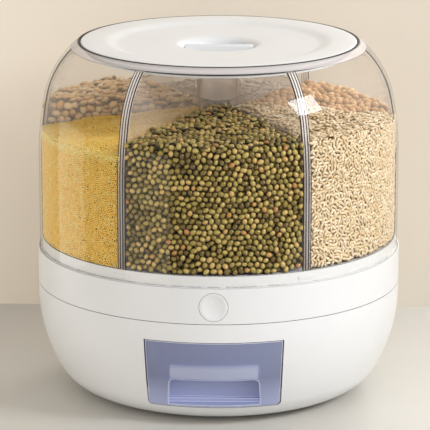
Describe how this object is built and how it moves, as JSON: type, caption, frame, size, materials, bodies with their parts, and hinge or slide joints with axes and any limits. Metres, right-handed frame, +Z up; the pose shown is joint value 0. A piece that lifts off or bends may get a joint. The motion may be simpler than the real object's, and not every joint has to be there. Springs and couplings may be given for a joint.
{
  "type": "rotating food storage container",
  "caption": "Round countertop grain keeper: a clear bell-shaped drum of compartments turns on a white base with a push button, a shutter and a measuring drawer.",
  "frame": {"origin": "centre of the round base, on the plane of the feet", "axes": "+Z up along the drum's axis, -Y towards the button and the drawer, +X to the right as seen from the front"},
  "size_m": [0.32, 0.32, 0.3106],
  "materials": {
    "casing": "smooth moulded plastic, soft gloss",
    "button": "smooth moulded plastic, soft gloss",
    "inner_casing": "moulded plastic, unpolished",
    "tray": "smooth moulded plastic",
    "lid_white": "smooth moulded plastic, soft gloss",
    "shutter": "slippery moulded plastic",
    "bearing": "slippery moulded plastic",
    "shaft": "hard moulded plastic",
    "steel": "plain steel",
    "foot_rubber": "soft rubber",
    "seal": "soft silicone",
    "clear_wall": "clear polished plastic",
    "clear_insert": "clear polished plastic",
    "drawer_tint": "clear plastic with a blue tint"
  },
  "bodies": {
    "base": {"lower_shell": "casing", "upper_ring": "casing", "drawer_bay": "inner_casing", "outlet_chute": "inner_casing", "spindle": "shaft", "spindle_washer": "steel", "spindle_screw": "steel", "base_screws": "steel", "chute_screws": "steel", "bay_screws": "steel", "rubber_feet": "foot_rubber"},
    "drum": {"floor_tray": "tray", "floor_hopper_1": "tray", "floor_hopper_2": "tray", "floor_hopper_3": "tray", "floor_hopper_4": "tray", "floor_hopper_5": "tray", "floor_hopper_6": "tray", "drum_shell": "clear_wall", "divider_insert": "clear_insert", "hub_plug": "clear_insert", "outlet_seals": "seal"},
    "roller_ring": {"roller_cage": "bearing", "rollers": "bearing"},
    "lid": {"lid": "lid_white", "lid_seal": "seal"},
    "button": {"push_button": "button", "gate_slider": "shutter", "gate_screws": "steel", "return_spring": "steel"},
    "drawer": {"drawer_cup": "drawer_tint"}
  },
  "joints": [
    {"name": "drum_spin", "type": "hinge", "parent": "base", "child": "drum", "pos_m": [0, 0, 0.15], "axis": [0, 0, 1], "continuous": true},
    {"name": "roller_ring_spin", "type": "hinge", "parent": "base", "child": "roller_ring", "pos_m": [0, 0, 0.1248], "axis": [0, 0, 1], "continuous": true},
    {"name": "lid_lift", "type": "slide", "parent": "drum", "child": "lid", "axis": [0, 0, 1], "range_m": [0, 0.06]},
    {"name": "button_press", "type": "slide", "parent": "base", "child": "button", "axis": [0, 1, 0], "range_m": [0, 0.012], "stiffness_N_per_m": 250, "springref_m": -0.004, "deforming": ["return_spring"]},
    {"name": "drawer_slide", "type": "slide", "parent": "base", "child": "drawer", "axis": [0, -1, 0], "range_m": [0, 0.1]}
  ],
  "couplings": [
    {"joint": "roller_ring_spin", "follows": "drum_spin", "ratio": 0.5}
  ]
}
